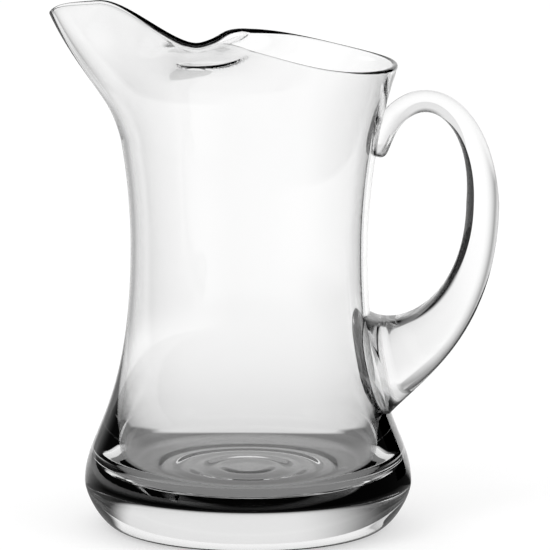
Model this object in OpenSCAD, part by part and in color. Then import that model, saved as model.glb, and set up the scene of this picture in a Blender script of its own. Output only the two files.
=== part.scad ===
// Glass beer pitcher: a waisted jug with a heavy base, a pulled spout, a pinched throat
// and a solid handle that is sealed to the wall at both ends.
// Millimetres. +Z is up, the jug's axis is Z, the table is Z = 0.
// The spout points along -X and the handle along +X.

/* [Body] */
// Widest diameter, at the belly of the base
base_d = 148; // [130:1:170]
// Height of the widest part above the table
belly_h = 21; // [17:0.5:26]
// Diameter of the ring that stands on the table, at its outer edge
foot_d = 117; // [104:1:126]
// Width of the flat standing ring
foot_ring_w = 14; // [8:0.5:20]
// Depth of the shallow hollow under the base
punt_depth = 1.6; // [0.6:0.1:4]
// Diameter at the waist, the narrowest part
waist_d = 107; // [96:1:120]
// Height of the waist
waist_h = 127; // [110:1:140]
// Diameter of the mouth, on the handle side
rim_d = 132.5; // [120:1:150]
// Height of the rim on the handle side
rim_h = 211; // [195:0.5:235]
// Thickness of the wall at the waist
wall = 3.4; // [2.4:0.1:5]
// Thickness of the wall at the fire-polished rim
rim_wall = 2.4; // [1.6:0.1:3.4]
// Height of the inner floor above the table
floor_h = 22.5; // [16:0.5:30]
// Largest inside diameter, just above the floor
cavity_d = 122; // [112:1:130]
// Radius between the inside wall and the floor
floor_fillet = 12; // [6:0.5:16]

/* [Lip] */
// Distance from the axis to the tip of the spout
spout_reach = 91; // [80:0.5:110]
// How far the spout rises above the rim of the handle side
spout_rise = 25.5; // [18:0.5:40]
// Clear gap between the two dents that pinch the throat
throat_gap = 22; // [12:1:34]
// How far the rim rises beside the throat
shoulder_rise = 12.5; // [6:0.5:18]
// Where the throat lies round the rim, in degrees from the spout
throat_angle = 55; // [50:1:64]

/* [Handle] */
// Distance from the axis to the outside of the handle
handle_reach = 112.5; // [100:1:130]
// Height of the middle of the upper seal
upper_seal_h = 176; // [165:1:186]
// Height of the middle of the lower seal
lower_seal_h = 76; // [66:0.5:86]
// Height of the point of the loop that is farthest out
grip_h = 148; // [135:1:155]
// Thickness of the strap at the crown of the loop
crown_t = 9.8; // [8:0.2:14]
// Thickness of the strap where it is farthest out
grip_t = 15; // [10:0.2:18]
// Width of the strap where it is farthest out
grip_w = 15.5; // [14:0.5:28]
// Height of the pad on the wall
pad_t = 47; // [34:1:50]
// Width of the pad on the wall
pad_w = 46; // [34:1:54]
// Width of the upper seal, where the strap is pressed on
seal_w = 17; // [14:1:30]

/* [Hidden] */
$fn = 96;
glass = [0.82, 0.88, 0.88, 0.6];

base_r = base_d / 2;
foot_r = foot_d / 2;
waist_r = waist_d / 2;
rim_r = rim_d / 2;
// Glass that is left beside the floor however slim the base is, and in the wall above it
heel_wall = 6;
least_wall = 2;
cavity_r = min(cavity_d / 2, base_r - heel_wall);

// Straight pulls at the ends of the curves from foot to belly and from belly to waist, outside and inside
foot_pull = 7;
heel_pull = 6.6;
belly_pull = 22;
waist_pull = 74;
cavity_pull = 16;
inner_waist_pull = 52;
profile_steps = 16;
arc_steps = 8;

// The lip is a loft of rings: sides round it, steps up the wall and over the fold, crowded at the fold
lip_sides = 90;
flare_steps = 4;
fold_steps = 8;
rim_steps = 4;
fold_crowding = 1.5;
// Share of the height from waist to rim that stays round all the way round
round_share = 0.595;
lip_start_h = waist_h + (rim_h - waist_h) * round_share;
// The skirt carries the loft a little way down inside the wall of the bowl
skirt_depth = 1;
skirt_inset = 0.05;
// Heights at which the wall folds over into the lip: below the rim, higher at the dents, lower at the spout
lip_dip = 6;
dent_lift = 12;
spout_start = 13.5;
// How gently it folds, and how full the underside of the spout is
fold_ease = 0.45;
spout_fill = 0.33;
// Small step that gives the slope of a curve or a surface
probe = 0.001;

// Angles round the rim, in degrees from the spout: where the forms lie and over which they fade out
spout_spread = 26;
spout_root_spread = 30;
nose_spread = 18.7;
tip_spread = 9.3;
throat_spread = 41;
shoulder_angle = 78;
shoulder_spread = 40;
fold_lean = 8;
fold_spread = 32.5;
ramp_angle = 30;
ramp_start = -0.5;
// How far the spout's tip dips and the throat leans to the handle, and how far the sides are drawn in
tip_drop = 3;
throat_shift = 16.5;
nose_narrow = 0.46;
throat_narrow = 1 - (throat_gap + rim_wall) / 2 / (rim_r * sin(throat_angle));
spout_pull = spout_reach - rim_r - rim_wall / 2;
// The hollow pressed into each dent: how far its middle lies behind the throat and outwards of it, its
// half length, half width and depth, and the power by which it ends below the rim
dent_back = 8.5;
dent_out = 14;
dent_x = throat_shift - rim_r * cos(throat_angle) + dent_back;
dent_y = throat_gap / 2 + dent_out;
dent_l = 20;
dent_w = 20;
dent_depth = 4.5;
dent_power = 4;

// Handle: sides round the strap, stations along each half of the loop and in the ends, which run on
// into the wall before they are cut to it
handle_sides = 24;
handle_steps = 22;
tail_sink = 7;
pad_sink = 12;
// Stations of the tail, whose end is rounded off by this power
tail_stations = [-0.97, -0.85, -0.55];
tail_power = 6;
// Directions at the wall, in degrees from level, and straight pulls at the ends of the loop's two curves
upper_angle = 67;
upper_pull = 35.5;
crown_pull = 48;
grip_pull = 41;
lower_angle = 14.5;
lower_pull = 27;
grip_x = handle_reach - grip_t / 2;
// Strap beside the upper seal, and above the pad where it is this much less than the pad, with the powers
// by which one thickness passes into the next
seal_t = 11.2;
neck_w = 13;
seal_spread = 0.2;
pad_flare_t = 10.5;
pad_flare_w = 4;
pad_neck_t = pad_t - pad_flare_t;
pad_neck_w = pad_w - pad_flare_w;
seal_power = 6;
grip_power = 4;
pad_power = 8;
// The strap is round at the grip and flattened over this much of the way to the pad: a roundness of 1 gives
// an ellipse, less gives fuller corners
pad_round = 0.5;
flat_span = 0.8;

function smooth(u) = let (c = max(0, min(1, u))) c * c * (3 - 2 * c);
function bell(d, spread) = exp(-pow(d / spread, 2));
function bezier(p, t) =
    pow(1 - t, 3) * p[0] + 3 * pow(1 - t, 2) * t * p[1] + 3 * (1 - t) * t * t * p[2] + pow(t, 3) * p[3];
function bezier_line(p, steps) = [for (i = [0:steps]) bezier(p, i / steps)];
function unit(v) = v / norm(v);

// Outside of the jug where it is still round: foot to belly, belly to waist, then the flare above it
foot_curve = [[foot_r, 0], [foot_r + foot_pull, 0], [base_r, belly_h - heel_pull], [base_r, belly_h]];
foot_line = bezier_line(foot_curve, arc_steps);
belly_curve = [
    [base_r, belly_h], [base_r, belly_h + belly_pull], [waist_r, waist_h - waist_pull], [waist_r, waist_h]
];
belly_line = bezier_line(belly_curve, profile_steps);
function flare_r(z) = waist_r + (rim_r - waist_r) * pow((z - waist_h) / (rim_h - waist_h), 2);

// Inside of the jug up to the waist: floor, fillet, then the wall, thick below and thin above
floor_arc = [
    for (i = [0:arc_steps])
        let (a = -90 * (1 - i / arc_steps))
            [cavity_r - floor_fillet + floor_fillet * cos(a), floor_h + floor_fillet + floor_fillet * sin(a)]
];
cavity_curve = [
    [cavity_r, floor_h + floor_fillet],
    [cavity_r, floor_h + floor_fillet + cavity_pull],
    [waist_r - wall, waist_h - inner_waist_pull],
    [waist_r - wall, waist_h]
];
function belly_r(z) = lookup(z, [for (p = belly_line) [p[1], p[0]]]);
cavity_line = [
    for (p = bezier_line(cavity_curve, profile_steps)) [min(p[0], belly_r(p[1]) - least_wall), p[1]]
];

// Hollow under the base, a shallow dome inside the standing ring
punt_r = foot_r - foot_ring_w;
punt_arc_r = (punt_r * punt_r + punt_depth * punt_depth) / (2 * punt_depth);
punt_arc = [
    for (i = [0:arc_steps])
        let (r = punt_r * i / arc_steps)
            [r, punt_depth - punt_arc_r + sqrt(punt_arc_r * punt_arc_r - r * r)]
];

function tail(line) = [for (i = [1:len(line) - 1]) line[i]];
function reversed(line) = [for (i = [len(line) - 1:-1:0]) line[i]];

// Rim of the lip at an angle a from the spout, on the +Y side: plan place, then height
function rim_narrow(a) =
    a < throat_angle
        ? throat_narrow - (throat_narrow - nose_narrow) * bell(a, nose_spread)
        : throat_narrow * bell(a - throat_angle, throat_spread);
function rim_height(a) =
    rim_h - rim_wall / 2
    + shoulder_rise * bell(a - shoulder_angle, shoulder_spread)
    + spout_rise * smooth((throat_angle + ramp_start - a) / ramp_angle)
    - tip_drop * bell(a, tip_spread);
function rim_point(a) = [
    -rim_r * cos(a) - spout_pull * bell(a, spout_spread)
    + throat_shift * bell(a - throat_angle, throat_spread / 2),
    rim_r * sin(a) * (1 - rim_narrow(a)),
    rim_height(a)
];

// Height at which the wall leaves its round shape for the lip, how it turns there, and the dent's hollow
function fold_height(a) =
    rim_h - lip_dip
    + dent_lift * bell(a - throat_angle - fold_lean, fold_spread)
    - spout_start * bell(a, spout_root_spread);
function ramp(u) =
    (u + sqrt(u * u + fold_ease * fold_ease)) / 2 - (sqrt(1 + fold_ease * fold_ease) - 1) / 2;
function dent(p) =
    dent_depth * max(0, 1 - pow((p[0] - dent_x) / dent_l, 2) - pow((p[1] - dent_y) / dent_w, 2));

// Outside of the lip: levels 0 to 1 are the round flare, and 1 to 3 cross the fold at 2 to the rim at 3
fold_level = 2;
rim_level = 3;
function flare_point(a, z) = [-flare_r(z) * cos(a), flare_r(z) * sin(a), z];
function fold_point(a, u) =
    let (
        over = ramp(u),
        up = 1 - ramp(-u),
        fold = flare_point(a, fold_height(a)),
        wall_point = flare_point(a, lip_start_h + (fold_height(a) - lip_start_h) * up),
        reach = rim_point(a) - fold,
        across = over * (1 + spout_fill * (1 - over)),
        p = wall_point + [reach[0] * across, reach[1] * across, reach[2] * over]
    )
        p - [0, 0, dent(p) * (1 - pow(over, dent_power))];
function lip_half(a, v) =
    v < 1 ? flare_point(a, waist_h + (lip_start_h - waist_h) * v) : fold_point(a, v - fold_level);
function lip_point(a, v) =
    a <= 180 ? lip_half(a, v) : let (p = lip_half(360 - a, v)) [p[0], -p[1], p[2]];
function lip_rise(a, v) = lip_point(a, v) - lip_point(a, v - probe);
function lip_round(a, v) = lip_point(a + probe, v) - lip_point(a - probe, v);
function lip_normal(a, v) = unit(cross(lip_rise(a, v), lip_round(a, v)));
function lip_wall(v) = wall + (rim_wall - wall) * smooth(v / rim_level);

// Levels up the lip, closer together at the fold
lip_levels = concat(
    [for (i = [1:flare_steps - 1]) i / flare_steps],
    [for (i = [-fold_steps:fold_steps]) fold_level + sign(i) * pow(abs(i) / fold_steps, fold_crowding)]
);

function around(i) = 360 * i / lip_sides;
function outer_ring(v) = [for (i = [0:lip_sides - 1]) lip_point(around(i), v)];
function inner_ring(v) = [
    for (i = [0:lip_sides - 1]) lip_point(around(i), v) - lip_wall(v) * lip_normal(around(i), v)
];
function rim_ring(turn) = [
    for (i = [0:lip_sides - 1])
        let (
            a = around(i),
            n = lip_normal(a, rim_level) * rim_wall / 2,
            up = unit(lip_rise(a, rim_level)) * rim_wall / 2
        )
            lip_point(a, rim_level) - n + n * cos(turn) + up * sin(turn)
];
function skirt_ring(r) = [
    for (i = [0:lip_sides - 1]) [-r * cos(around(i)), r * sin(around(i)), waist_h - skirt_depth]
];

// Faces of a stack of equal rings, closed at its ends or joined from the last ring to the first
function band(lower, upper, sides) = [
    for (i = [0:sides - 1], half = [0, 1])
        let (j = (i + 1) % sides)
            half == 0
                ? [lower * sides + i, lower * sides + j, upper * sides + j]
                : [lower * sides + i, upper * sides + j, upper * sides + i]
];
function bands(rings, sides) = [for (k = [0:rings - 2]) each band(k, k + 1, sides)];

module lip() {
    rings = concat(
        [skirt_ring(waist_r - skirt_inset)],
        [for (v = lip_levels) outer_ring(v)],
        [for (k = [1:rim_steps - 1]) rim_ring(180 * k / rim_steps)],
        [for (v = reversed(lip_levels)) inner_ring(v)],
        [skirt_ring(waist_r - wall + skirt_inset)]
    );
    polyhedron(
        points = [for (ring = rings) each ring],
        faces = concat(bands(len(rings), lip_sides), band(len(rings) - 1, 0, lip_sides))
    );
}

module bowl() {
    rotate_extrude()
        polygon(concat(
            punt_arc, foot_line, tail(belly_line),
            reversed(cavity_line), tail(reversed(floor_arc)), [[0, floor_h]]
        ));
}

// The round outside of the jug as one solid, which the ends of the handle are shaped to
module round_outside() {
    flare_line = [for (v = lip_levels) let (p = lip_point(180, v)) [p[0], p[2]]];
    rotate_extrude()
        polygon(concat([[0, belly_h]], belly_line, flare_line, [[0, rim_h]]));
}

// Centre line of the handle in the XZ plane: station 0 is the upper seal, 1 the grip, 2 the lower seal
upper_seal = [flare_r(upper_seal_h), upper_seal_h];
lower_seal = [belly_r(lower_seal_h), lower_seal_h];
grip = [grip_x, grip_h];
upper_way = [cos(upper_angle), sin(upper_angle)];
lower_way = [cos(lower_angle), sin(lower_angle)];
upper_curve = [upper_seal, upper_seal + upper_pull * upper_way, grip + [0, crown_pull], grip];
lower_curve = [grip, grip - [0, grip_pull], lower_seal + lower_pull * lower_way, lower_seal];
function handle_centre(s) =
    s < 0 ? upper_seal + s * tail_sink * upper_way
    : s <= 1 ? bezier(upper_curve, s)
    : s <= 2 ? bezier(lower_curve, s - 1)
    : lower_seal - (s - 2) * pad_sink * lower_way;
function handle_way(s) = unit(handle_centre(s + probe) - handle_centre(s - probe));
function handle_t(s) =
    let (u = max(0, min(1, s)), w = max(0, min(1, s - 1)))
        crown_t + (seal_t - crown_t) * pow(1 - u, seal_power) + (grip_t - crown_t) * pow(u, grip_power)
        + (pad_neck_t - grip_t) * w * w + (pad_t - pad_neck_t) * pow(w, pad_power);
function handle_w(s) =
    let (u = max(0, min(1, s)), w = max(0, min(1, s - 1)), sunk = max(0, -s))
        neck_w + (seal_w - neck_w) * (bell(u, seal_spread) - sunk * sunk) + (grip_w - neck_w) * smooth(u)
        + (pad_neck_w - grip_w) * w * w + (pad_w - pad_neck_w) * pow(w, pad_power);
function handle_end(s) = sqrt(1 - pow(max(0, -s), tail_power));
function handle_round(s) = 1 - (1 - pad_round) * smooth((s - 1) / flat_span);
function squared(reach, roundness) = sign(reach) * pow(abs(reach), roundness);
function handle_ring(s) =
    let (c = handle_centre(s), d = handle_way(s))
        [
            for (i = [0:handle_sides - 1])
                let (
                    a = 360 * i / handle_sides,
                    out = squared(cos(a), handle_round(s)) * handle_t(s) * handle_end(s) / 2,
                    side = squared(sin(a), handle_round(s)) * handle_w(s) * handle_end(s) / 2
                )
                    [c[0] - d[1] * out, side, c[1] + d[0] * out]
        ];

module strap() {
    stations = concat(
        tail_stations,
        [for (i = [0:2 * handle_steps]) i / handle_steps],
        [3]
    );
    rings = len(stations);
    last = (rings - 1) * handle_sides;
    polyhedron(
        points = [for (s = stations) each handle_ring(s)],
        faces = concat(
            bands(rings, handle_sides),
            [[for (i = [handle_sides - 1:-1:0]) i]],
            [[for (i = [0:handle_sides - 1]) last + i]]
        )
    );
}

module body() {
    color(glass)
        union() {
            bowl();
            lip();
        }
}

module handle() {
    color(glass)
        difference() {
            strap();
            round_outside();
        }
}

body();
handle();
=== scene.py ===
import math

import bpy
import numpy as np
from mathutils import Matrix, Vector


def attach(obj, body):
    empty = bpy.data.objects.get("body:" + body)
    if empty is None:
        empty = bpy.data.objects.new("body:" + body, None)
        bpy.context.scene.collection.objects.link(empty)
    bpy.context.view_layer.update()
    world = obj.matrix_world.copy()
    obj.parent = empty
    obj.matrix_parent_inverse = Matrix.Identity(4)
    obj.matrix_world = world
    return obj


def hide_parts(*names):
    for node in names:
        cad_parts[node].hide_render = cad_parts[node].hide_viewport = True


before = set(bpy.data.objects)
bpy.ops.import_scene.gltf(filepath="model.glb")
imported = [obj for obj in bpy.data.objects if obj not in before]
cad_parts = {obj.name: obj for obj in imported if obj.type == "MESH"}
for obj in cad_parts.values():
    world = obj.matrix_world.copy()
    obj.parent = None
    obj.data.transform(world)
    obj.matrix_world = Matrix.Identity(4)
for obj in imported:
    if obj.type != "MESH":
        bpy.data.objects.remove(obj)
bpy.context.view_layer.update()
mm = 0.001
print("frame loaded:", ", ".join(sorted(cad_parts)))


def linear(hexColour):
    parts = [int(hexColour[i:i + 2], 16) / 255 for i in (0, 2, 4)]
    return tuple(c / 12.92 if c <= 0.04045 else ((c + 0.055) / 1.055) ** 2.4 for c in parts) + (1.0,)


def addNode(tree, kind, inputs=None, **settings):
    node = tree.nodes.new(kind)
    for name, value in settings.items():
        setattr(node, name, value)
    for key, value in (inputs or {}).items():
        if isinstance(value, bpy.types.NodeSocket):
            tree.links.new(value, node.inputs[key])
        else:
            node.inputs[key].default_value = value
    return node


def smooth(u):
    c = np.clip(u, 0, 1)
    return c * c * (3 - 2 * c)


def bell(d, spread):
    return np.exp(-(d / spread) ** 2)


def bezier(points, t):
    p = np.array(points, float)
    t = np.asarray(t, float)[..., None]
    return (1 - t) ** 3 * p[0] + 3 * (1 - t) ** 2 * t * p[1] + 3 * (1 - t) * t * t * p[2] + t ** 3 * p[3]


# one glass for both pieces, with a tint for each
glassLook = {
    "bodyTint": "FEFEFE",
    "handleTint": "FEFEFE",
    "ior": 1.5,
    "roughness": 0.0,
}


def sodaLimeGlass(name, tint):
    # soda-lime glass, fire-polished: clear, hard bright edges, no grain of its own
    material = bpy.data.materials.new(name)
    material.use_nodes = True
    shader = material.node_tree.nodes["Principled BSDF"]
    shader.inputs["Base Color"].default_value = linear(tint)
    shader.inputs["Roughness"].default_value = glassLook["roughness"]
    shader.inputs["IOR"].default_value = glassLook["ior"]
    shader.inputs["Transmission Weight"].default_value = 1.0
    return material


blownGlass = sodaLimeGlass("blown soda-lime glass", glassLook["bodyTint"])
drawnGlass = sodaLimeGlass("drawn soda-lime glass", glassLook["handleTint"])

# the jug, in millimetres and degrees, as in the part's source
jug = {
    "baseR": 74.0, "bellyH": 21.0, "footR": 58.5, "footRing": 14.0, "puntDepth": 1.6,
    "waistR": 53.5, "waistH": 127.0, "rimR": 66.25, "rimH": 211.0,
    "wall": 3.4, "rimWall": 2.4, "floorH": 22.5, "cavityR": 61.0, "floorFillet": 12.0,
    "footPull": 7.0, "heelPull": 6.6, "bellyPull": 22.0, "waistPull": 74.0,
    "cavityPull": 16.0, "innerWaistPull": 52.0,
    "spoutReach": 91.0, "spoutRise": 25.5, "throatGap": 22.0, "shoulderRise": 12.5, "throatAngle": 55.0,
    "roundShare": 0.595, "lipDip": 6.0, "dentLift": 12.0, "spoutStart": 13.5,
    "foldEase": 0.45, "spoutFill": 0.33,
    "dentX": -13.0, "dentY": 25.0, "dentLength": 20.0, "dentWidth": 20.0, "dentDepth": 4.5, "dentFade": 4,
    "spoutSpread": 26.0, "spoutRootSpread": 30.0, "noseSpread": 18.7, "tipSpread": 9.3,
    "throatSpread": 41.0, "shoulderAngle": 78.0, "shoulderSpread": 40.0, "foldLean": 8.0, "foldSpread": 32.5,
    "rampAngle": 30.0, "rampStart": -0.5, "tipDrop": 3.0, "throatShift": 16.5, "noseNarrow": 0.46,
    # how finely each stretch of the mesh is divided
    "columns": 240, "standRings": 3, "footRings": 22, "bellyRings": 54, "flareRings": 18, "foldRings": 30,
    "beadRings": 10, "cavityRings": 46, "filletRings": 14, "floorRings": 4, "foldCrowding": 1.5,
    # turned rings in the hollow under the base, which show through it: radius, height, half width
    "puntRings": 48, "turnedRings": [(41.0, 0.7, 3.2), (31.0, 0.9, 4.5), (15.0, 0.7, 4.5)],
}


def flareR(z):
    up = (z - jug["waistH"]) / (jug["rimH"] - jug["waistH"])
    return jug["waistR"] + (jug["rimR"] - jug["waistR"]) * up ** 2


def flarePoint(a, z):
    r = flareR(z)
    return np.stack([-r * np.cos(np.radians(a)), r * np.sin(np.radians(a)), z + 0 * a], -1)


lipStartH = jug["waistH"] + (jug["rimH"] - jug["waistH"]) * jug["roundShare"]
spoutPull = jug["spoutReach"] - jug["rimR"] - jug["rimWall"] / 2
throatHalf = (jug["throatGap"] + jug["rimWall"]) / 2
throatNarrow = 1 - throatHalf / (jug["rimR"] * math.sin(math.radians(jug["throatAngle"])))


def rimPoint(a):
    nearSpout = throatNarrow - (throatNarrow - jug["noseNarrow"]) * bell(a, jug["noseSpread"])
    beyond = throatNarrow * bell(a - jug["throatAngle"], jug["throatSpread"])
    narrow = np.where(a < jug["throatAngle"], nearSpout, beyond)
    x = (-jug["rimR"] * np.cos(np.radians(a)) - spoutPull * bell(a, jug["spoutSpread"])
         + jug["throatShift"] * bell(a - jug["throatAngle"], jug["throatSpread"] / 2))
    y = jug["rimR"] * np.sin(np.radians(a)) * (1 - narrow)
    z = (jug["rimH"] - jug["rimWall"] / 2
         + jug["shoulderRise"] * bell(a - jug["shoulderAngle"], jug["shoulderSpread"])
         + jug["spoutRise"] * smooth((jug["throatAngle"] + jug["rampStart"] - a) / jug["rampAngle"])
         - jug["tipDrop"] * bell(a, jug["tipSpread"]))
    return np.stack([x, y, z], -1)


def ramp(u, ease):
    # 0 at -1 and 1 at 1, with a soft corner between
    return (u + np.sqrt(u * u + ease * ease)) / 2 - (np.sqrt(1 + ease * ease) - 1) / 2


def foldPoint(a, u):
    foldH = (jug["rimH"] - jug["lipDip"]
             + jug["dentLift"] * bell(a - jug["throatAngle"] - jug["foldLean"], jug["foldSpread"])
             - jug["spoutStart"] * bell(a, jug["spoutRootSpread"]))
    over, up = ramp(u, jug["foldEase"]), 1 - ramp(-u, jug["foldEase"])
    reach = rimPoint(a) - flarePoint(a, foldH)
    across = over * (1 + jug["spoutFill"] * (1 - over))
    p = flarePoint(a, lipStartH + (foldH - lipStartH) * up) + reach * np.stack([across, across, over], -1)
    along = (p[..., 0] - jug["dentX"]) / jug["dentLength"]
    aside = (p[..., 1] - jug["dentY"]) / jug["dentWidth"]
    inDent = np.maximum(0, 1 - along ** 2 - aside ** 2)
    p[..., 2] -= jug["dentDepth"] * inDent * (1 - over ** jug["dentFade"])
    return p


# levels of the lip: 0 to 1 are the round flare, 1 to 3 cross the fold at 2 to the rim at 3
foldLevel, rimLevel = 2, 3


def lipPoint(degrees, level):
    a = np.where(degrees > 180, 360 - degrees, degrees)
    if level < 1:
        p = flarePoint(a, jug["waistH"] + (lipStartH - jug["waistH"]) * level)
    else:
        p = foldPoint(a, level - foldLevel)
    p[..., 1] *= np.where(degrees > 180, -1, 1)
    return p


def lipNormal(degrees, level):
    probe = 0.002
    rise = lipPoint(degrees, level) - lipPoint(degrees, level - probe)
    around = lipPoint(degrees + probe, level) - lipPoint(degrees - probe, level)
    n = np.cross(rise, around)
    return n / np.linalg.norm(n, axis=-1, keepdims=True), rise / np.linalg.norm(rise, axis=-1, keepdims=True)


columns = np.arange(jug["columns"]) * 360 / jug["columns"]


def roundRing(r, z):
    turn = np.radians(columns)
    return np.stack([-r * np.cos(turn), r * np.sin(turn), np.full_like(columns, z)], -1)


footCurve = [(jug["footR"], 0), (jug["footR"] + jug["footPull"], 0),
             (jug["baseR"], jug["bellyH"] - jug["heelPull"]), (jug["baseR"], jug["bellyH"])]
bellyCurve = [(jug["baseR"], jug["bellyH"]), (jug["baseR"], jug["bellyH"] + jug["bellyPull"]),
              (jug["waistR"], jug["waistH"] - jug["waistPull"]), (jug["waistR"], jug["waistH"])]
bellyLine = bezier(bellyCurve, np.linspace(0, 1, jug["bellyRings"] + 1))


def bodyRings():
    # up the outside from the middle of the base, over the rim's bead and down the inside to the floor
    rings = []
    puntR = jug["footR"] - jug["footRing"]
    domeR = (puntR ** 2 + jug["puntDepth"] ** 2) / (2 * jug["puntDepth"])
    for r in np.linspace(0, puntR, jug["puntRings"] + 1)[1:]:
        rise = sum(h * bell(r - at, half) for at, h, half in jug["turnedRings"])
        rings.append(roundRing(r, jug["puntDepth"] - domeR + math.sqrt(domeR ** 2 - r ** 2) + rise))
    for r in np.linspace(puntR, jug["footR"], jug["standRings"] + 2)[1:-1]:
        rings.append(roundRing(r, 0))
    for r, z in bezier(footCurve, np.linspace(0, 1, jug["footRings"] + 1)):
        rings.append(roundRing(r, z))
    for r, z in bellyLine[1:]:
        rings.append(roundRing(r, z))
    crowd = np.linspace(-1, 1, 2 * jug["foldRings"] + 1)
    crowd = foldLevel + np.sign(crowd) * np.abs(crowd) ** jug["foldCrowding"]
    levels = [*(np.arange(1, jug["flareRings"]) / jug["flareRings"]), *crowd]
    for level in levels:
        rings.append(lipPoint(columns, level))
    top = lipPoint(columns, rimLevel)
    n, up = lipNormal(columns, rimLevel)
    for turn in np.linspace(0, math.pi, jug["beadRings"] + 1)[1:-1]:
        rings.append(top + jug["rimWall"] / 2 * (n * (math.cos(turn) - 1) + up * math.sin(turn)))
    for level in reversed(levels):
        thick = jug["wall"] + (jug["rimWall"] - jug["wall"]) * smooth(level / rimLevel)
        rings.append(lipPoint(columns, level) - thick * lipNormal(columns, level)[0])
    innerWaist = jug["waistR"] - jug["wall"]
    heel = jug["floorH"] + jug["floorFillet"]
    cavity = [(jug["cavityR"], heel), (jug["cavityR"], heel + jug["cavityPull"]),
              (innerWaist, jug["waistH"] - jug["innerWaistPull"]), (innerWaist, jug["waistH"])]
    for r, z in bezier(cavity, np.linspace(1, 0, jug["cavityRings"] + 1)):
        rings.append(roundRing(r, z))
    for turn in np.linspace(0, math.pi / 2, jug["filletRings"] + 1)[1:]:
        rings.append(roundRing(jug["cavityR"] - jug["floorFillet"] * (1 - math.cos(turn)),
                               heel - jug["floorFillet"] * math.sin(turn)))
    for r in np.linspace(jug["cavityR"] - jug["floorFillet"], 0, jug["floorRings"] + 1)[1:-1]:
        rings.append(roundRing(r, jug["floorH"]))
    return rings


def meshFromRings(name, rings, first, last, material):
    # rings of one count joined in turn, and closed at each end round a middle point
    count = len(rings[0])
    points = np.concatenate([*rings, [first], [last]]) * mm
    faces = []
    for k in range(len(rings) - 1):
        low, high = k * count, (k + 1) * count
        for i in range(count):
            j = (i + 1) % count
            faces.append((low + j, low + i, high + i, high + j))
    bottom, top = len(points) - 2, len(points) - 1
    end = (len(rings) - 1) * count
    for i in range(count):
        j = (i + 1) % count
        faces.append((bottom, i, j))
        faces.append((top, end + j, end + i))
    mesh = bpy.data.meshes.new(name)
    mesh.from_pydata(points.tolist(), [], faces)
    mesh.validate()
    mesh.shade_smooth()
    mesh.materials.append(material)
    piece = bpy.data.objects.new(name, mesh)
    bpy.context.scene.collection.objects.link(piece)
    return piece


bodyPiece = meshFromRings(
    "blown_jug", bodyRings(), (0, 0, jug["puntDepth"]), (0, 0, jug["floorH"]), blownGlass)
print("blown jug:", len(bodyPiece.data.polygons), "faces")

# the handle, in millimetres and degrees, as in the part's source; the names with capitals are inputs of
# its node group
handle = {
    "reach": 112.5, "upperSealH": 176.0, "lowerSealH": 76.0, "gripH": 148.0,
    "upperAngle": 67.0, "upperPull": 35.5, "crownPull": 48.0, "gripPull": 41.0,
    "lowerAngle": 14.5, "lowerPull": 27.0, "tail": 7.0, "root": 12.0,
    "Steps": 40, "Sides": 72,
    "Seal Thickness": 11.2, "Crown Thickness": 9.8, "Grip Thickness": 15.0,
    "Pad Neck Thickness": 36.5, "Pad Thickness": 47.0,
    "Neck Width": 13.0, "Seal Width": 17.0, "Grip Width": 15.5, "Pad Neck Width": 42.0, "Pad Width": 46.0,
    "Shear Mark Depth": 0.22, "Shear Mark Pitch": 2.6,
    "Pad Roundness": 0.5, "Flat Span": 0.8,
    # how suddenly the strap changes towards each place, as powers of the way along it
    "sealPower": 6.0, "gripPower": 4.0, "neckPower": 2.0, "padPower": 8.0, "tailPower": 6.0,
    # the flattened seal's share of the way to the grip, and the stations where the shear marks fade out
    "flatSealShare": 0.2, "shearFade": (1.02, 1.16),
    # the wall that the strap's ends are cut to: how far inside the glass, how far below the rim, how fine
    "sealDepth": 0.8, "sealWallDrop": 5.0, "sealWallRings": 60,
    "creaseAngle": 40.0, "weld": 0.001,
}


def sealWall():
    # the jug's outside as a solid, a little inside the glass, which the ends of the strap are cut to
    high = np.linspace(jug["waistH"], jug["rimH"] - handle["sealWallDrop"], handle["sealWallRings"])[1:]
    line = [*bellyLine, *zip(flareR(high), high)]
    rings = [roundRing(r - handle["sealDepth"], z) for r, z in line]
    return meshFromRings("seal wall", rings, (0, 0, line[0][1]), (0, 0, line[-1][1]), drawnGlass)


def strapPath():
    upper = math.radians(handle["upperAngle"])
    lower = math.radians(handle["lowerAngle"])
    upperWay = np.array([math.cos(upper), math.sin(upper)])
    lowerWay = np.array([math.cos(lower), math.sin(lower)])
    upperSeal = np.array([flareR(handle["upperSealH"]), handle["upperSealH"]])
    lowerR = np.interp(handle["lowerSealH"], bellyLine[:, 1], bellyLine[:, 0])
    lowerSeal = np.array([lowerR, handle["lowerSealH"]])
    grip = np.array([handle["reach"] - handle["Grip Thickness"] / 2, handle["gripH"]])
    tail = upperSeal - handle["tail"] * upperWay
    root = lowerSeal - handle["root"] * lowerWay
    # each stop of the curve: its place, its control point towards the tail, and the one towards the root
    stops = [
        (tail, tail, tail + (upperSeal - tail) / 3),
        (upperSeal, upperSeal + (tail - upperSeal) / 3, upperSeal + handle["upperPull"] * upperWay),
        (grip, grip + [0, handle["crownPull"]], grip - [0, handle["gripPull"]]),
        (lowerSeal, lowerSeal + handle["lowerPull"] * lowerWay, lowerSeal + (root - lowerSeal) / 3),
        (root, root + (lowerSeal - root) / 3, root),
    ]
    curve = bpy.data.curves.new("strap path", "CURVE")
    curve.dimensions = "3D"
    spline = curve.splines.new("BEZIER")
    spline.bezier_points.add(len(stops) - 1)
    spline.resolution_u = handle["Steps"]
    for point, (place, back, onward) in zip(spline.bezier_points, stops):
        point.handle_left_type = point.handle_right_type = "FREE"
        point.co = Vector((place[0], 0, place[1])) * mm
        point.handle_left = Vector((back[0], 0, back[1])) * mm
        point.handle_right = Vector((onward[0], 0, onward[1])) * mm
    path = bpy.data.objects.new("strap path", curve)
    bpy.context.scene.collection.objects.link(path)
    return path


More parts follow.
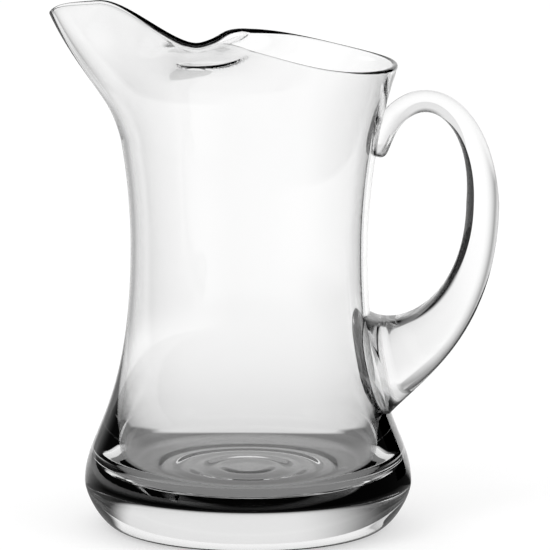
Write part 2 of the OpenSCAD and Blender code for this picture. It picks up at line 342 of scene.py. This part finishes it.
def strapTree():
    tree = bpy.data.node_groups.new("strap sweep", "GeometryNodeTree")
    face = tree.interface
    face.new_socket("Geometry", in_out="INPUT", socket_type="NodeSocketGeometry")
    face.new_socket("Geometry", in_out="OUTPUT", socket_type="NodeSocketGeometry")
    for name in ("Steps", "Sides"):
        face.new_socket(name, in_out="INPUT", socket_type="NodeSocketInt")
    for name in ("Seal Thickness", "Crown Thickness", "Grip Thickness", "Pad Neck Thickness", "Pad Thickness",
                 "Neck Width", "Seal Width", "Grip Width", "Pad Neck Width", "Pad Width",
                 "Shear Mark Depth", "Shear Mark Pitch"):
        face.new_socket(name, in_out="INPUT", socket_type="NodeSocketFloat").subtype = "DISTANCE"
    for name in ("Pad Roundness", "Flat Span"):
        face.new_socket(name, in_out="INPUT", socket_type="NodeSocketFloat")
    face.new_socket("Wall", in_out="INPUT", socket_type="NodeSocketObject")
    face.new_socket("Glass", in_out="INPUT", socket_type="NodeSocketMaterial")
    size = addNode(tree, "NodeGroupInput").outputs
    sums, vectors = "ShaderNodeMath", "ShaderNodeVectorMath"
    path = addNode(tree, "GeometryNodeResampleCurve", {"Curve": size["Geometry"]}, mode="EVALUATED")
    # a station counts the stops: 0 at the tail, 1 at the upper seal, 2 at the grip, 3 at the lower seal
    station = addNode(tree, sums, {0: addNode(tree, "GeometryNodeInputIndex").outputs[0], 1: size["Steps"]},
                      operation="DIVIDE").outputs[0]
    # sunk runs from 0 at the upper seal to 1 at the tail, u from the seal to the grip, w on to the pad
    sunk = addNode(tree, sums, {0: 1.0, 1: station}, operation="SUBTRACT", use_clamp=True).outputs[0]
    u = addNode(tree, sums, {0: station, 1: 1.0}, operation="SUBTRACT", use_clamp=True).outputs[0]
    w = addNode(tree, sums, {0: station, 1: 2.0}, operation="SUBTRACT", use_clamp=True).outputs[0]
    toGrip = addNode(tree, sums, {0: 1.0, 1: u}, operation="SUBTRACT").outputs[0]
    nearSeal = addNode(tree, sums, {0: toGrip, 1: handle["sealPower"]}, operation="POWER").outputs[0]
    nearGrip = addNode(tree, sums, {0: u, 1: handle["gripPower"]}, operation="POWER").outputs[0]
    toPad = addNode(tree, sums, {0: w, 1: handle["neckPower"]}, operation="POWER").outputs[0]
    atPad = addNode(tree, sums, {0: w, 1: handle["padPower"]}, operation="POWER").outputs[0]
    share = addNode(tree, sums, {0: u, 1: handle["flatSealShare"]}, operation="DIVIDE").outputs[0]
    square = addNode(tree, sums, {0: share, 1: share}, operation="MULTIPLY").outputs[0]
    minus = addNode(tree, sums, {0: square, 1: -1.0}, operation="MULTIPLY").outputs[0]
    flat = addNode(tree, sums, {0: minus}, operation="EXPONENT").outputs[0]
    sunkSquare = addNode(tree, sums, {0: sunk, 1: 2.0}, operation="POWER").outputs[0]
    flatSeal = addNode(tree, sums, {0: flat, 1: sunkSquare}, operation="SUBTRACT").outputs[0]
    eased = addNode(tree, "ShaderNodeMapRange", {"Value": u},
                    interpolation_type="SMOOTHSTEP").outputs["Result"]

    def law(start, steps):
        total = size[start]
        for low, high, amount in steps:
            rise = addNode(tree, sums, {0: size[high], 1: size[low]}, operation="SUBTRACT").outputs[0]
            total = addNode(tree, sums, {0: rise, 1: amount, 2: total}, operation="MULTIPLY_ADD").outputs[0]
        return total

    thick = law("Crown Thickness", [
        ("Crown Thickness", "Seal Thickness", nearSeal), ("Crown Thickness", "Grip Thickness", nearGrip),
        ("Grip Thickness", "Pad Neck Thickness", toPad), ("Pad Neck Thickness", "Pad Thickness", atPad)])
    wide = law("Neck Width", [
        ("Neck Width", "Seal Width", flatSeal), ("Neck Width", "Grip Width", eased),
        ("Grip Width", "Pad Neck Width", toPad), ("Pad Neck Width", "Pad Width", atPad)])
    # the tail's end is rounded off by the fire
    ended = addNode(tree, sums, {0: sunk, 1: handle["tailPower"]}, operation="POWER").outputs[0]
    rest = addNode(tree, sums, {0: 1.0, 1: ended}, operation="SUBTRACT").outputs[0]
    roundEnd = addNode(tree, sums, {0: rest}, operation="SQRT").outputs[0]
    half = addNode(tree, sums, {0: roundEnd, 1: 0.5}, operation="MULTIPLY").outputs[0]
    halfThick = addNode(tree, sums, {0: thick, 1: half}, operation="MULTIPLY").outputs[0]
    halfWide = addNode(tree, sums, {0: wide, 1: half}, operation="MULTIPLY").outputs[0]
    # the section is round at the grip and flattened towards the pad
    roundness = addNode(tree, "ShaderNodeMapRange", {
        "Value": w, "From Max": size["Flat Span"], "To Min": 1.0, "To Max": size["Pad Roundness"]},
        interpolation_type="SMOOTHSTEP").outputs["Result"]
    kept = addNode(tree, "GeometryNodeCaptureAttribute", {"Geometry": path.outputs[0]})
    fields = {
        "centre": ("VECTOR", addNode(tree, "GeometryNodeInputPosition").outputs[0]),
        "tangent": ("VECTOR", addNode(tree, "GeometryNodeInputTangent").outputs[0]),
        "half thickness": ("FLOAT", halfThick), "half width": ("FLOAT", halfWide),
        "station": ("FLOAT", station), "roundness": ("FLOAT", roundness),
    }
    for name, (kind, field) in fields.items():
        kept.capture_items.new(kind, name)
    for name, (kind, field) in fields.items():
        tree.links.new(field, kept.inputs[name])
    circle = addNode(tree, "GeometryNodeCurvePrimitiveCircle", {"Resolution": size["Sides"], "Radius": 1.0})
    tube = addNode(tree, "GeometryNodeCurveToMesh", {
        "Curve": kept.outputs["Geometry"], "Profile Curve": circle.outputs["Curve"], "Fill Caps": True})
    offset = addNode(tree, vectors, {
        0: addNode(tree, "GeometryNodeInputPosition").outputs[0], 1: kept.outputs["centre"]},
        operation="SUBTRACT")
    across = addNode(tree, vectors, {0: kept.outputs["tangent"], 1: (0, 1, 0)}, operation="CROSS_PRODUCT")
    upright = addNode(tree, vectors, {0: offset.outputs[0], 1: across.outputs[0]},
                      operation="DOT_PRODUCT").outputs["Value"]
    level = addNode(tree, "ShaderNodeSeparateXYZ", {0: offset.outputs[0]}).outputs["Y"]

    def squared(reach):
        length = addNode(tree, sums, {0: reach}, operation="ABSOLUTE").outputs[0]
        sign = addNode(tree, sums, {0: reach}, operation="SIGN").outputs[0]
        full = addNode(tree, sums, {0: length, 1: kept.outputs["roundness"]}, operation="POWER").outputs[0]
        return addNode(tree, sums, {0: full, 1: sign}, operation="MULTIPLY").outputs[0]

    out, side = squared(upright), squared(level)
    sideways = addNode(tree, sums, {0: side, 1: kept.outputs["half width"]}, operation="MULTIPLY").outputs[0]
    # shear marks: fine ribs along the strap where it was cut and pressed on, gone a little way up the loop
    turn = addNode(tree, sums, {0: sideways, 1: size["Shear Mark Pitch"]}, operation="DIVIDE").outputs[0]
    phase = addNode(tree, sums, {0: turn, 1: 2 * math.pi}, operation="MULTIPLY").outputs[0]
    wave = addNode(tree, sums, {0: phase}, operation="COSINE").outputs[0]
    fade = addNode(tree, "ShaderNodeMapRange", {
        "Value": kept.outputs["station"], "From Min": handle["shearFade"][0],
        "From Max": handle["shearFade"][1], "To Min": 1.0, "To Max": 0.0},
        interpolation_type="SMOOTHSTEP").outputs["Result"]
    depth = addNode(tree, sums, {0: fade, 1: size["Shear Mark Depth"]}, operation="MULTIPLY").outputs[0]
    rib = addNode(tree, sums, {0: wave, 1: depth}, operation="MULTIPLY").outputs[0]
    ribbed = addNode(tree, sums, {0: kept.outputs["half thickness"], 1: rib}, operation="ADD").outputs[0]
    outwards = addNode(tree, sums, {0: out, 1: ribbed}, operation="MULTIPLY").outputs[0]
    lift = addNode(tree, vectors, {0: across.outputs[0], "Scale": outwards}, operation="SCALE")
    shove = addNode(tree, "ShaderNodeCombineXYZ", {"Y": sideways})
    moved = addNode(tree, vectors, {0: lift.outputs[0], 1: shove.outputs[0]}, operation="ADD")
    place = addNode(tree, vectors, {0: moved.outputs[0], 1: kept.outputs["centre"]}, operation="ADD")
    strap = addNode(tree, "GeometryNodeSetPosition", {
        "Geometry": tube.outputs[0], "Position": place.outputs[0]})
    # the tail's last ring has closed to a point, and its corners are welded before the cut
    closed = addNode(tree, "GeometryNodeMergeByDistance", {
        "Geometry": strap.outputs[0], "Distance": handle["weld"] * mm})
    wall = addNode(tree, "GeometryNodeObjectInfo", {"Object": size["Wall"]})
    cut = addNode(tree, "GeometryNodeMeshBoolean", {
        "Mesh 1": closed.outputs[0], "Mesh 2": wall.outputs["Geometry"]},
        operation="DIFFERENCE", solver="EXACT")
    edge = addNode(tree, "GeometryNodeInputMeshEdgeAngle").outputs["Unsigned Angle"]
    sharp = addNode(tree, "FunctionNodeCompare", {0: edge, 1: math.radians(handle["creaseAngle"])},
                    operation="GREATER_THAN")
    polished = addNode(tree, "GeometryNodeSetShadeSmooth", {"Geometry": cut.outputs["Mesh"]}, domain="FACE")
    creased = addNode(tree, "GeometryNodeSetShadeSmooth", {
        "Geometry": polished.outputs[0], "Selection": sharp.outputs[0], "Shade Smooth": False}, domain="EDGE")
    real = addNode(tree, "GeometryNodeRealizeInstances", {0: creased.outputs[0]})
    dressed = addNode(tree, "GeometryNodeSetMaterial", {
        "Geometry": real.outputs[0], "Material": size["Glass"]})
    addNode(tree, "NodeGroupOutput", {"Geometry": dressed.outputs[0]})
    return tree


def sweptStrap(name):
    path, wall = strapPath(), sealWall()
    modifier = path.modifiers.new("strap sweep", "NODES")
    modifier.node_group = strapTree()
    for item in modifier.node_group.interface.items_tree:
        if item.in_out != "INPUT" or item.name == "Geometry":
            continue
        if item.name == "Wall":
            modifier[item.identifier] = wall
        elif item.name == "Glass":
            modifier[item.identifier] = drawnGlass
        elif item.socket_type == "NodeSocketFloat" and item.subtype == "DISTANCE":
            modifier[item.identifier] = handle[item.name] * mm
        else:
            modifier[item.identifier] = handle[item.name]
    evaluated = path.evaluated_get(bpy.context.evaluated_depsgraph_get())
    mesh = bpy.data.meshes.new_from_object(evaluated)
    mesh.name = name
    path.modifiers.remove(modifier)
    for helper in (path, wall):
        bpy.data.objects.remove(helper)
    piece = bpy.data.objects.new(name, mesh)
    bpy.context.scene.collection.objects.link(piece)
    return piece


handlePiece = sweptStrap("drawn_handle")
print("drawn handle:", len(handlePiece.data.polygons), "faces")

for piece, node, slotName in ((bodyPiece, "body", "body_glass"), (handlePiece, "handle", "handle_glass")):
    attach(piece, "root")
    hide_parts(node)

# the studio as the glass sees it, in metres and degrees from +X: lit paper and a lit backdrop behind the
# jug, the jug's own shade on the paper round it, a dim room at the sides and a paler one in front
studio = {
    "floorRadius": 8.0, "floorSides": 96, "floorDrop": 0.0003,
    # the shade ends at these distances from the axis, and at a straight line behind the jug
    "shade": 0.22, "shadeEnd": (0.11, 0.22), "paperLine": (0.079, 0.086),
    # the lit paper turns from nearWhite at the jug to farWhite
    "shadeRadius": 0.075, "nearWhite": 0.77, "farWhite": 1.08, "fadeLength": 0.19,
    "floorGlow": 0.5, "floorWhite": "BCBCBC",
    # where the lit part starts on the right and fades out on the left: of the backdrop, of the floor, and of
    # the floor beyond the distances of farFloor
    "rightEdge": (42.0, 56.0), "leftEdge": (100.0, 138.0), "leftFloorEdge": (108.0, 172.0),
    "leftFarEdge": (87.0, 138.0), "farFloor": (0.42, 0.62),
    # the backdrop's top, as sines of the elevation
    "backdrop": 0.84, "backdropTop": (0.2, 0.55),
    # the room at its sides, in front (from this sine of the bearing on), and as the outside of the glass
    # mirrors it, which is darker than any real room so that the band round the base is deep
    "dimSides": 0.012, "dimFront": 0.68, "frontTurn": 0.7, "dimMirrored": 0.02,
    # on the spout's side the floor is lit again, over these distances and these cosines of the bearing
    "openFloor": (0.2, 0.5), "openTurn": (0.2, 0.8), "openWhite": 0.8,
    # a black flag just out of the picture, behind the handle: near edge, width, height and distance behind
    "flagEdge": 0.194, "flagWidth": 0.15, "flagHeight": 0.3, "flagBehind": 0.2,
}


def bearing(tree, place):
    way = addNode(tree, "ShaderNodeSeparateXYZ", {0: place}).outputs
    return addNode(tree, "ShaderNodeMath", {0: way["Y"], 1: way["X"]}, operation="ARCTAN2").outputs[0]


def litShare(tree, angle, leftEdge):
    # 1 where the paper and the backdrop are lit, 0 at the sides and in front
    right = addNode(tree, "ShaderNodeMapRange", {
        "Value": angle, "From Min": math.radians(studio["rightEdge"][0]),
        "From Max": math.radians(studio["rightEdge"][1])}, interpolation_type="SMOOTHSTEP").outputs["Result"]
    left = addNode(tree, "ShaderNodeMapRange", {
        "Value": angle, "From Min": math.radians(leftEdge[0]), "From Max": math.radians(leftEdge[1]),
        "To Min": 1.0, "To Max": 0.0}, interpolation_type="SMOOTHSTEP").outputs["Result"]
    return addNode(tree, "ShaderNodeMath", {0: right, 1: left}, operation="MULTIPLY").outputs[0]


def roomTone(tree, angle, rays):
    # the room beside and in front of the jug, darker where the outside of the glass mirrors it
    behind = addNode(tree, "ShaderNodeMath", {0: angle}, operation="SINE").outputs[0]
    dim = addNode(tree, "ShaderNodeMapRange", {
        "Value": behind, "From Min": 0.0, "From Max": -studio["frontTurn"],
        "To Min": studio["dimSides"], "To Max": studio["dimFront"]},
        interpolation_type="SMOOTHSTEP").outputs["Result"]
    return addNode(tree, "ShaderNodeMix", {
        0: rays["Is Reflection Ray"], 2: dim, 3: studio["dimMirrored"]}, data_type="FLOAT").outputs[0]


def litPaper(tree, place, distance, rays):
    away = addNode(tree, "ShaderNodeMapRange", {
        "Value": distance, "From Min": studio["shadeRadius"],
        "From Max": studio["shadeRadius"] + studio["fadeLength"],
        "To Min": 0.0, "To Max": -1.0}, clamp=False).outputs["Result"]
    nearness = addNode(tree, "ShaderNodeMath", {0: away}, operation="EXPONENT").outputs[0]
    white = addNode(tree, "ShaderNodeMath", {
        0: nearness, 1: studio["nearWhite"] - studio["farWhite"], 2: studio["farWhite"]},
        operation="MULTIPLY_ADD").outputs[0]
    angle = bearing(tree, place)
    beyond = addNode(tree, "ShaderNodeMapRange", {
        "Value": distance, "From Min": studio["farFloor"][0], "From Max": studio["farFloor"][1]},
        interpolation_type="SMOOTHSTEP").outputs["Result"]
    behindShare = addNode(tree, "ShaderNodeMix", {
        0: beyond, 2: litShare(tree, angle, studio["leftFloorEdge"]),
        3: litShare(tree, angle, studio["leftFarEdge"])}, data_type="FLOAT").outputs[0]
    way = addNode(tree, "ShaderNodeVectorMath", {0: place}, operation="NORMALIZE").outputs[0]
    spoutSide = addNode(tree, "ShaderNodeMapRange", {
        "Value": addNode(tree, "ShaderNodeSeparateXYZ", {0: way}).outputs["X"],
        "From Min": -studio["openTurn"][0], "From Max": -studio["openTurn"][1]},
        interpolation_type="SMOOTHSTEP").outputs["Result"]
    far = addNode(tree, "ShaderNodeMapRange", {
        "Value": distance, "From Min": studio["openFloor"][0], "From Max": studio["openFloor"][1],
        "To Max": studio["openWhite"]}, interpolation_type="SMOOTHSTEP").outputs["Result"]
    opened = addNode(tree, "ShaderNodeMath", {0: spoutSide, 1: far}, operation="MULTIPLY").outputs[0]
    share = addNode(tree, "ShaderNodeMath", {0: behindShare, 1: opened}, operation="MAXIMUM").outputs[0]
    return addNode(tree, "ShaderNodeMix", {
        0: share, 2: roomTone(tree, angle, rays), 3: white}, data_type="FLOAT").outputs[0]


def studioFloor():
    bpy.ops.mesh.primitive_circle_add(vertices=studio["floorSides"], radius=studio["floorRadius"],
                                      fill_type="NGON", location=(0, 0, -studio["floorDrop"]))
    floor = bpy.context.object
    floor.name = "studio floor"
    material = bpy.data.materials.new("white paper sweep")
    material.use_nodes = True
    tree = material.node_tree
    tree.nodes.clear()
    rays = addNode(tree, "ShaderNodeLightPath").outputs
    place = addNode(tree, "ShaderNodeNewGeometry").outputs["Position"]
    distance = addNode(tree, "ShaderNodeVectorMath", {0: place}, operation="LENGTH").outputs["Value"]
    apart = addNode(tree, "ShaderNodeMapRange", {
        "Value": distance, "From Min": studio["shadeEnd"][0], "From Max": studio["shadeEnd"][1]},
        interpolation_type="SMOOTHSTEP").outputs["Result"]
    behind = addNode(tree, "ShaderNodeMapRange", {
        "Value": addNode(tree, "ShaderNodeSeparateXYZ", {0: place}).outputs["Y"],
        "From Min": studio["paperLine"][0], "From Max": studio["paperLine"][1]}).outputs["Result"]
    clear = addNode(tree, "ShaderNodeMath", {0: apart, 1: behind}, operation="MAXIMUM").outputs[0]
    tone = addNode(tree, "ShaderNodeMix", {
        0: clear, 2: studio["shade"], 3: litPaper(tree, place, distance, rays)}, data_type="FLOAT").outputs[0]
    seen = addNode(tree, "ShaderNodeEmission", {"Color": tone})
    # past the glass the paper is plain, and glows a little for the camera so that it is white
    paper = addNode(tree, "ShaderNodeBsdfDiffuse", {"Color": linear(studio["floorWhite"])})
    glow = addNode(tree, "ShaderNodeEmission", {"Strength": studio["floorGlow"]})
    glowing = addNode(tree, "ShaderNodeAddShader", {0: paper.outputs[0], 1: glow.outputs[0]})
    plain = addNode(tree, "ShaderNodeMixShader", {
        0: rays["Is Camera Ray"], 1: paper.outputs[0], 2: glowing.outputs[0]})
    inGlass = addNode(tree, "ShaderNodeMath", {0: rays["Is Glossy Ray"], 1: rays["Is Transmission Ray"]},
                      operation="MAXIMUM").outputs[0]
    surface = addNode(tree, "ShaderNodeMixShader", {0: inGlass, 1: plain.outputs[0], 2: seen.outputs[0]})
    addNode(tree, "ShaderNodeOutputMaterial", {"Surface": surface.outputs[0]})
    floor.data.materials.append(material)


def studioFlag():
    near, behind = studio["flagEdge"], studio["flagBehind"]
    wide, high = near + studio["flagWidth"], studio["flagHeight"]
    mesh = bpy.data.meshes.new("flag")
    mesh.from_pydata([(near, behind, 0), (wide, behind, 0), (wide, behind, high), (near, behind, high)], [],
                     [(0, 1, 2, 3)])
    flag = bpy.data.objects.new("black flag", mesh)
    bpy.context.collection.objects.link(flag)
    material = bpy.data.materials.new("black flock")
    material.use_nodes = True
    tree = material.node_tree
    tree.nodes.clear()
    black = addNode(tree, "ShaderNodeEmission", {"Strength": 0.0})
    addNode(tree, "ShaderNodeOutputMaterial", {"Surface": black.outputs[0]})
    mesh.materials.append(material)
    flag.visible_camera = flag.visible_shadow = flag.visible_diffuse = False


def studioWorld():
    world = bpy.data.worlds.new("studio")
    bpy.context.scene.world = world
    world.use_nodes = True
    tree = world.node_tree
    tree.nodes.clear()
    rays = addNode(tree, "ShaderNodeLightPath").outputs
    way = addNode(tree, "ShaderNodeTexCoord").outputs["Generated"]
    up = addNode(tree, "ShaderNodeSeparateXYZ", {0: way}).outputs["Z"]
    low = addNode(tree, "ShaderNodeMapRange", {
        "Value": up, "From Min": studio["backdropTop"][0], "From Max": studio["backdropTop"][1],
        "To Min": 1.0, "To Max": 0.0}, interpolation_type="SMOOTHSTEP").outputs["Result"]
    angle = bearing(tree, way)
    wall = addNode(tree, "ShaderNodeMix", {
        0: litShare(tree, angle, studio["leftEdge"]), 2: roomTone(tree, angle, rays), 3: studio["backdrop"]},
        data_type="FLOAT").outputs[0]
    tone = addNode(tree, "ShaderNodeMath", {0: wall, 1: low}, operation="MULTIPLY").outputs[0]
    seen = addNode(tree, "ShaderNodeBackground", {"Color": tone, "Strength": 1.0})
    white = addNode(tree, "ShaderNodeBackground", {"Color": (1, 1, 1, 1), "Strength": 1.0})
    inGlass = addNode(tree, "ShaderNodeMath", {0: rays["Is Glossy Ray"], 1: rays["Is Transmission Ray"]},
                      operation="MAXIMUM").outputs[0]
    surface = addNode(tree, "ShaderNodeMixShader", {0: inGlass, 1: white.outputs[0], 2: seen.outputs[0]})
    addNode(tree, "ShaderNodeOutputWorld", {"Surface": surface.outputs[0]})


# lamps that light the paper and give it a soft shadow, in metres; the glass doesn't show them
lamps = {
    "key": {"place": (-0.9, -1.1, 1.5), "aim": (0, 0, 0.1), "size": 1.0, "watts": 9.0},
    "fill": {"place": (1.2, -0.7, 1.2), "aim": (0, 0, 0.1), "size": 1.0, "watts": 4.0},
}


def studioLamps():
    for name, lamp in lamps.items():
        light = bpy.data.lights.new(name, "AREA")
        light.size, light.energy = lamp["size"], lamp["watts"]
        holder = bpy.data.objects.new(name, light)
        holder.location = lamp["place"]
        holder.rotation_euler = (Vector(lamp["aim"]) - holder.location).to_track_quat("-Z", "Y").to_euler()
        holder.visible_glossy = holder.visible_transmission = False
        bpy.context.scene.collection.objects.link(holder)


# the photo's camera, in millimetres, degrees and the photo's pixels: it stands at a distance from the pivot
# and looks at the aim
camera = {
    "pivot": (0.0, 0.0, 110.0), "aim": (11.7, 0.0, 114.7), "distance": 2418.2, "elevation": 9.651,
    "roll": 0.308, "focalPixels": 5361.0, "frame": 550, "sensor": 36.0,
}


def studioCamera():
    data = bpy.data.cameras.new("camera")
    data.sensor_width = camera["sensor"]
    data.lens = camera["focalPixels"] / camera["frame"] * camera["sensor"]
    holder = bpy.data.objects.new("camera", data)
    tilt = math.radians(camera["elevation"])
    back = Vector((0, -math.cos(tilt), math.sin(tilt)))
    holder.rotation_mode = "QUATERNION"
    holder.location = (Vector(camera["pivot"]) + back * camera["distance"]) * mm
    look = Vector(camera["aim"]) * mm - holder.location
    level = look.to_track_quat("-Z", "Y").to_matrix().to_4x4()
    turn = level @ Matrix.Rotation(math.radians(camera["roll"]), 4, "Z")
    holder.rotation_quaternion = turn.to_quaternion()
    bpy.context.scene.collection.objects.link(holder)
    bpy.context.scene.camera = holder


studioFloor()
studioFlag()
studioWorld()
studioLamps()
studioCamera()
bpy.context.scene.view_settings.view_transform = "Standard"
print("studio ready")
